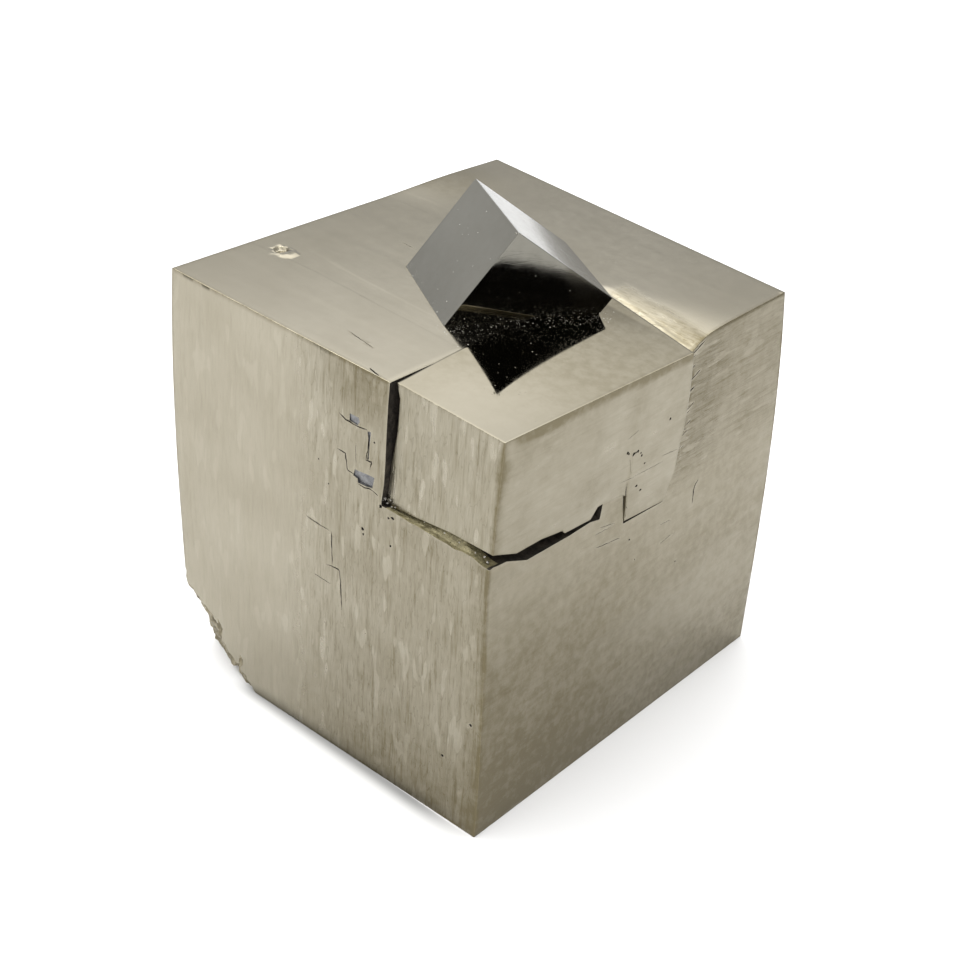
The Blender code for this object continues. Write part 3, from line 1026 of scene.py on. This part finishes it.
rubble = [((x, FRONT + offset, z), size) for x, offset, z, size in CRUMBS]
rubble += [(vertex + (-0.25, -0.1, -0.10), 0.13), (vertex + (0.18, 0.12, -0.12), 0.11)]
lumps = [crumb(centre, size, seed) for seed, (centre, size) in enumerate(rubble)]
starts = np.cumsum([0] + [len(points) for points, _, _ in lumps[:-1]])
crumbs = make_object("crumbs_of_pyrite", np.concatenate([points for points, _, _ in lumps]),
                     np.concatenate([quads + n for (_, quads, _), n in zip(lumps, starts)]),
                     np.concatenate([sides for _, _, sides in lumps]))
report_shell(crumbs)


# %% [markdown]
# ## The finish of pyrite
# Pyrite is a brassy metal with a grey-brown film of weathering, whose colour here also serves as
# painted shade. The striae that are too fine for the mesh are bump; they follow the striae map,
# so they run with the modelled ones on each side.
# One recipe serves all three crystals, with its own colour, polish and film for each.

# %% Pyrite
def pyrite(name, colour, stain, roughness, seed):
    """A worn metal. stain is the tint of the film, which also serves as painted shade; roughness
    holds one value for each of the six sides. The film and painted shade, the dust and the
    strength of the striae are painted on the mesh."""
    material = bpy.data.materials.new(name)
    finish = Finish(material)
    place = finish.node("ShaderNodeTexCoord", output="Object")
    place_mm = finish.vector("MULTIPLY", place, (1000.0, 1000.0, 1000.0))
    striae_uv = finish.node("ShaderNodeUVMap", {"uv_map": "striae"})
    across = finish.node("ShaderNodeSeparateXYZ", {}, {0: striae_uv})
    side = ((across - SIDE_START) / SIDE_PITCH).math("FLOOR")
    stops = tuple((k / 6, grey(level)) for k, level in enumerate(roughness))
    polish = finish.node("ShaderNodeValToRGB", {"steps": stops}, {0: (side + 0.5) / 6.0})
    film = finish.node("ShaderNodeAttribute", {"attribute_name": "film"}, output="Fac")
    ridged = finish.node("ShaderNodeAttribute", {"attribute_name": "ridged"}, output="Fac")

    def lines(width, length, detail=3.0, offset=0.0):
        """Noise stretched along the striae, width by length in mm."""
        shifted = finish.vector("ADD", striae_uv, (seed * 3.7 + offset, seed * 5.1 + offset, 0.0))
        return finish.noise(finish.vector("MULTIPLY", shifted, (1 / width, 1 / length, 0.0)),
                            1.0, detail, 0.6)

    fine, middle, broad = lines(0.16, 1.7), lines(0.55, 5.0), lines(2.6, 9.0, 2.0)
    long_lines = lines(0.22, 6.5, 3.0, 20.0)
    on_right = side.math("COMPARE", 1.0, 0.5)
    fine = finish.mix(on_right, fine, (long_lines - 0.5) * 1.9 + 0.5)
    strokes = lines(0.15, 2.1, 2.0, 40.0).rise(0.58, 0.74)
    bands = lines(0.45, 6.0, 2.5, 150.0).rise(0.50, 0.72)
    ovals = lines(1.15, 5.2, 1.5, 70.0).rise(0.595, 0.64)
    rims = lines(0.8, 5.0, 2.0, 110.0) - 0.5
    rims = 1.0 - rims.math("ABSOLUTE").rise(0.002, 0.014)
    blotch = finish.noise(place_mm, 0.16, 4.0, 0.6)
    cloud = finish.noise(place_mm, 0.9, 5.0, 0.65)

    tone = (fine - 0.5) * 1.1 + (middle - 0.5) * 0.9 + (broad - 0.5) * 0.5
    tone = tone * ridged + (blotch - 0.5) * 0.45 + (cloud - 0.5) * 0.3 + 0.5
    tone = (tone + ovals * ridged * 0.45).clamped()
    bright = tuple(min(1.0, k * 1.2) for k in colour) + (1.0,)
    dull = tuple(k * tint for k, tint in zip(colour, (0.78, 0.76, 0.70))) + (1.0,)
    metal = finish.mix(tone, dull, bright)
    # The film's darker colour also serves as painted shade where the points carry it.
    film_and_shade_colour = tuple(k * t for k, t in zip(colour, stain)) + (1.0,)
    patchy = cloud.rise(0.30, 0.70) * 0.4 + 0.8
    marks = (strokes * 0.38 + rims * 0.22 + bands * 0.34) * ridged * (1.0 - ovals)
    metal = finish.mix((film * patchy + marks).clamped(), metal, film_and_shade_colour)

    def specks(per_mm, low, high):
        """Round grains scattered at random, about per_mm squared of them on a square mm."""
        away = finish.node("ShaderNodeTexVoronoi", {"feature": "F1"},
                           {"Vector": place_mm, "Scale": per_mm}, output="Distance")
        return 1.0 - away.rise(low, high)

    dust = finish.node("ShaderNodeAttribute", {"attribute_name": "dust"}, output="Fac")
    crowd = finish.noise(place_mm, 1.3, 6.0, 0.8).rise(0.46, 0.54)
    dusty = specks(1.5, 0.06, 0.10) * finish.noise(place_mm, 0.5, 1.0).rise(0.5, 0.55)
    dusty = dusty * (dust * 3.0).clamped() * 0.9
    dusty = (dusty + specks(6.0, 0.10, 0.27) * crowd * (dust - 0.2).clamped() * 1.2).clamped()
    metal = finish.mix(dusty, metal, (0.50, 0.49, 0.44, 1.0))

    rough = polish + (cloud - 0.5) * 0.10 + ridged * 0.22 + film * 0.10 - ovals * ridged * 0.08
    rough = (rough + dusty * 0.4).math("MAXIMUM", 0.03)
    relief_mm = ((fine - 0.5) * 0.020 + (middle - 0.5) * 0.030 - strokes * 0.006 - rims * 0.010
                 + ovals * 0.004) * ridged
    relief_mm = relief_mm + (cloud - 0.5) * 0.006 * (ridged + 0.1) + dusty * 0.02
    normal = finish.node("ShaderNodeBump", {}, {"Strength": 1.0, "Distance": MM,
                                                "Height": relief_mm})
    shader = finish.node("ShaderNodeBsdfPrincipled", {},
                         {"Base Color": metal, "Metallic": 1.0 - dusty * 0.9,
                          "Roughness": rough, "Normal": normal})
    finish.node("ShaderNodeOutputMaterial", {}, {0: shader})
    return material


def broken(name, low_colour, high_colour, roughness, metallic, bump, seed):
    """A rough break: patchy colour, glints, and a hackly bump."""
    material = bpy.data.materials.new(name)
    finish = Finish(material)
    place = finish.node("ShaderNodeTexCoord", output="Object")
    place_mm = finish.vector("MULTIPLY", place, (1000.0, 1000.0, 1000.0))
    place_mm = finish.vector("ADD", place_mm, (seed, seed * 2.0, 0.0))
    patch = finish.noise(place_mm, 1.1, 6.0, 0.7)
    grit = finish.noise(place_mm, 7.0, 4.0, 0.65)
    hackle = finish.node("ShaderNodeTexVoronoi", {"feature": "F1"},
                         {"Vector": place_mm, "Scale": 2.6}, output="Distance")
    tone = (patch.rise(0.3, 0.7) * 0.7 + (grit - 0.5) * 0.9 + 0.1).clamped()
    colour = finish.mix(tone, low_colour, high_colour)
    height_mm = (patch * 0.30 + grit * 0.06 + hackle * 0.12) * bump
    normal = finish.node("ShaderNodeBump", {}, {"Strength": 1.0, "Distance": MM,
                                                "Height": height_mm})
    shader = finish.node("ShaderNodeBsdfPrincipled", {},
                         {"Base Color": colour, "Metallic": metallic,
                          "Roughness": (grit - 0.5) * 0.4 + roughness, "Normal": normal})
    finish.node("ShaderNodeOutputMaterial", {}, {0: shader})
    return material


# %% Finishes
MAIN_COLOUR, CORNER_COLOUR = (0.335, 0.311, 0.252), (0.335, 0.312, 0.254)
TILTED_COLOUR = (0.240, 0.235, 0.212)
YELLOWED, GREYED = (0.44, 0.40, 0.29), (0.43, 0.41, 0.36)     # tints of the film and of the painted shade
# Roughness of the sides that face -X, +X, -Y, +Y, -Z and +Z.
MAIN_POLISH = (0.20, 0.22, 0.12, 0.22, 0.35, 0.12)
CORNER_POLISH = (0.20, 0.22, 0.10, 0.20, 0.30, 0.01)
TILTED_POLISH = (0.07, 0.06, 0.05, 0.05, 0.05, 0.05)
BREAKS = {           # dark colour, pale colour, roughness, metallic, bump, seed
    # The cracks, the pits and the gap round the corner crystal take a near-black finish as painted
    # shade inside them.
    "crack_painted_shade": ((0.006, 0.005, 0.004, 1), (0.06, 0.05, 0.037, 1), 0.6, 0.3, 0.3, 4),
    "broken_pyrite": ((0.10, 0.085, 0.05, 1), (0.38, 0.335, 0.23, 1), 0.45, 0.7, 1.0, 5),
    "flake_pyrite": ((0.08, 0.08, 0.085, 1), (0.26, 0.26, 0.26, 1), 0.35, 0.8, 0.2, 6),
    "seam_earth": ((0.10, 0.085, 0.04, 1), (0.46, 0.41, 0.24, 1), 0.5, 0.3, 0.5, 7),
    "crumb_pyrite": ((0.10, 0.09, 0.08, 1), (0.75, 0.73, 0.66, 1), 0.3, 0.8, 0.3, 8)}

main_pyrite = pyrite("pyrite_main", MAIN_COLOUR, YELLOWED, MAIN_POLISH, 1)
corner_pyrite = pyrite("pyrite_corner", CORNER_COLOUR, YELLOWED, CORNER_POLISH, 2)
tilted_pyrite = pyrite("pyrite_tilted", TILTED_COLOUR, GREYED, TILTED_POLISH, 3)
breaks = {name: broken(name, *row) for name, row in BREAKS.items()}
print("finishes:", 3 + len(breaks))


# %% [markdown]
# ## Film, painted shade, striae and dust by place
# What the finishes need to know about a place is painted on the points: how thick the film and
# its painted shade are, how strong the striae are and how much dust lies there. The film is
# thickest near the edges and along the top of the corner crystal, and the front is darker low
# down. Behind the seam, just under the top edge of the right face and low on that face the
# darkening is painted shade; over the rest of the right faces it is partly film and partly
# painted shade.

# %% Painting by place
FOOT_START, FOOT_STOP = np.array([3.4, -11.0]), np.array([10.9, 2.9])     # of the black face, mm


def painted(piece, name, values):
    """Store one value from 0 to 1 for every point of a piece."""
    if name not in piece.data.attributes:
        piece.data.attributes.new(name, "FLOAT", "POINT")
    piece.data.attributes[name].data.foreach_set("value", np.clip(values, 0, 1))


def points_of(piece):
    """Points in mm, their normals, and how near each is to an edge."""
    mesh = piece.data
    points, normals = np.zeros(3 * len(mesh.vertices)), np.zeros(3 * len(mesh.vertices))
    mesh.vertices.foreach_get("co", points)
    mesh.vertex_normals.foreach_get("vector", normals)
    rim = np.zeros(len(mesh.vertices))
    mesh.attributes["rim"].data.foreach_get("value", rim)
    return points.reshape(-1, 3).T / MM, normals.reshape(-1, 3), rim


def faces_by(normals):
    """Which points lie on the front, on the right and on the top."""
    return [normals[:, 1] < -0.8, normals[:, 0] > 0.8, normals[:, 2] > 0.75]


def dust_near_tilted(x, y):
    """Dust on a top: thick along the foot of the tilted crystal's black face, thin elsewhere."""
    along = FOOT_STOP - FOOT_START
    length = np.linalg.norm(along)
    along = along / length
    dx, dy = x - FOOT_START[0], y - FOOT_START[1]
    t = dx * along[0] + dy * along[1]
    out = dx * along[1] - dy * along[0]
    foot = ((0.55 * smooth(2.6, 0.2, out) + 0.45 * smooth(10, 1, out))
            * smooth(-2, 0.5, t) * smooth(length + 2, length - 0.5, t))
    near = smooth(9, 3, np.hypot(x - 3, y + 3))
    return 0.05 + 0.2 * near + 0.95 * foot * (out > -1)


# %% Paint the main crystal
FRONT_EDGE_X, RIGHT_TOP_Z = 20.3, 42.7     # mm; the front upright edge, the right face's top edge

(x, y, z), normals, rim = points_of(main)
on_faces = faces_by(normals)
uneven = grain(x / 5, z / 6, 111) + 0.5 * grain(y / 4, z / 3, 112)
past_seam = y - back_side(x, BEVEL_LEVEL)
bevel_strip = smooth(3.4, 2.2, past_seam) * smooth(8, 9.5, x)

front_ridged = 0.30 + 0.70 * smooth(-7, 2, x + 2 * uneven)
right_ridged = 0.18 + 0.9 * smooth(2.6, 4.6, y) * smooth(25, 31, z + 1.5 * uneven) * (
    0.45 + 0.55 * smooth(13, 5, y + uneven))
top_ridged = 0.025 + 0.85 * bevel_strip * smooth(-1, 0, past_seam)
painted(main, "ridged", np.select(on_faces, [front_ridged, right_ridged, top_ridged], 0.5))

# The front face is darker low on the right and towards its front upright edge.
low_right = smooth(13, 0, z) * smooth(-14, 14, x) * (1 + 0.6 * uneven)
front_darkening = (0.10 + 0.22 * smooth(-8, 6, x) + 0.36 * low_right
              + 0.25 * smooth(2.5, 0.4, FRONT_EDGE_X - x)
              + 0.30 * smooth(37, 42, z) * smooth(-4, 5, x) - 0.10 * uneven)
# Painted shade: a jagged dark band on the right face just behind the seam with the corner crystal.
jagged = y - 4.8 + 0.8 * grain(z / 0.35, y / 2.5, 113)
painted_shade_behind_seam = smooth(1.1, 0.0, jagged) * smooth(4.2, 4.6, y) * smooth(33, 37, z)
# Painted shade: a thin dark line just under the top edge of the right face.
below_top = RIGHT_TOP_Z - 0.3 * smooth(12, 5, y) - z
# The right face is darker overall and towards its foot, partly as film and partly as painted shade.
right_film_and_shade = (0.46 + 0.20 * smooth(14, 2, z) + 0.22 * smooth(26, 14, z) * smooth(6, -12, y)
              + 0.12 * smooth(30, 16, z) - 0.12 * uneven + 0.75 * painted_shade_behind_seam
              + 0.25 * smooth(0.8, 0.2, below_top) * smooth(4, 7, y))
top_film = (0.02 + 0.16 * smooth(-4, -18, x) + 0.20 * smooth(5, 20, x) * smooth(0, 10, y)
            + (0.25 + 0.25 * smooth(14, 19, x)) * bevel_strip
            + 0.40 * smooth(6, 2, abs(y - FOLD_Y)) * smooth(-10, -18, x))
film = np.select(on_faces, [front_darkening, right_film_and_shade, top_film], 0.3)
painted(main, "film", film + 0.45 * rim * (1 - 0.3 * on_faces[2]))
painted(main, "dust", np.where(on_faces[2], dust_near_tilted(x, y), 0.06))
print("points of the main crystal near an edge:", int((rim > 0.5).sum()), "of", len(rim))


# %% Paint the corner crystal
STAIN, STAIN_REACH = (-21.45, 39.9), (0.25, 0.9)     # (y, z) in mm, on the right face

(x, y, z), normals, rim = points_of(corner)
on_faces = faces_by(normals)
uneven = grain(y / 3, z / 2.5, 121) + 0.5 * grain(x / 2, z / 3, 122)
under_top = top_of_corner(x, y) - z
stain = np.exp(-((y - STAIN[0]) / STAIN_REACH[0]) ** 2 - ((z - STAIN[1]) / STAIN_REACH[1]) ** 2)
# The front face is darker towards its right edge; on the right face the darkening is partly film and
# partly painted shade.
front_darkening = 0.28 + 0.5 * smooth(1.0, 0.2, corner_high[0] - x + 0.3 * uneven)
right_film_and_shade = (0.40 + 0.6 * smooth(1.1, 0.25, under_top + 0.3 * uneven) * smooth(-23, -17, y)
              + 0.55 * smooth(1.9, 0.0, y - FRONT + 0.5 * uneven) - 0.12 * uneven + 0.7 * stain)
top_film = 0.22 + 0.40 * smooth(-20, -5, y) + 0.12 * smooth(14, 8, x)
film = np.select(on_faces, [front_darkening, right_film_and_shade, top_film], 0.4)
painted(corner, "film", film + 0.2 * rim * ~on_faces[2])
painted(corner, "dust", np.where(on_faces[2], dust_near_tilted(x, y), 0.05))
painted(corner, "ridged", np.select(on_faces, [0.9, 0.22, 0.0], 0.4))
print("film on the corner crystal:", film.mean().round(2), "on average")


# %% Paint the tilted crystal
# The black face looks against the ridge and the bright one against the steep edge.
HAZE_LINE = (49.1, 0.44, -6.2)     # mm; the haze starts at z = 49.1 - 0.44 (y + 6.2)

(x, y, z), normals, rim = points_of(tilted)
on_black = normals @ ridge < -0.9
on_bright = normals @ steep < -0.9
above_line = z - HAZE_LINE[0] + HAZE_LINE[1] * (y - HAZE_LINE[2])
high_up = smooth(-0.5, 0.5, above_line + 0.2 * grain(x / 0.8, y / 0.8, 131))
# Painted shade: the black face is darker beyond about x = 9 mm, towards its far edge.
beyond_edge = smooth(8.9, 9.9, x)
black_film_and_shade = high_up * (0.34 + 0.66 * beyond_edge) + beyond_edge
bright_film = 0.66 + 0.34 * smooth(47.5, 45.0, z)
painted(tilted, "film", black_film_and_shade * on_black + bright_film * on_bright)
painted(tilted, "ridged", 0.01 + 0.05 * on_black * high_up + 0.05 * on_bright)
painted(tilted, "dust", 0.16 + 0.55 * smooth(44.3, 42.9, z) + 0.12 * on_bright
        + 0.25 * smooth(47, 43.5, z) * ~on_black * ~on_bright)
print("points of the tilted crystal: black face", on_black.sum(), "bright face", on_bright.sum())


# %% [markdown]
# ## Finished pieces
# Each crystal takes its finishes, is shaded smooth except at true edges, and replaces its plain
# solid.

# %% Finishes, shading and the frame
SHARP_ANGLE = np.radians(28)
CRYSTALS = ((main, "main_crystal", main_pyrite), (corner, "corner_crystal", corner_pyrite),
            (tilted, "tilted_crystal", tilted_pyrite))
for piece, node, own in CRYSTALS:
    index = np.zeros(len(piece.data.polygons), int)
    piece.data.polygons.foreach_get("material_index", index)
    piece.data.materials.clear()
    piece.data.materials.append(own)
    for name in ("crack_painted_shade", "broken_pyrite", "flake_pyrite", "seam_earth"):
        piece.data.materials.append(breaks[name])
    piece.data.polygons.foreach_set("material_index", index)
    piece.data.polygons.foreach_set("use_smooth", np.ones(len(index), bool))
    piece.data.set_sharp_from_angle(angle=SHARP_ANGLE)
    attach(piece, "root")
    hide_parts(node)
    print(piece.name, "uses", np.bincount(index, minlength=5), "faces of each finish")


# %% Crumbs finished
crumbs.data.materials.append(breaks["crumb_pyrite"])
crumbs.data.polygons.foreach_set("material_index", np.zeros(len(crumbs.data.polygons), int))
crumbs.data.polygons.foreach_set("use_smooth", np.ones(len(crumbs.data.polygons), bool))
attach(crumbs, "root")
print(crumbs.name, "has", len(crumbs.data.polygons), "faces of one finish")
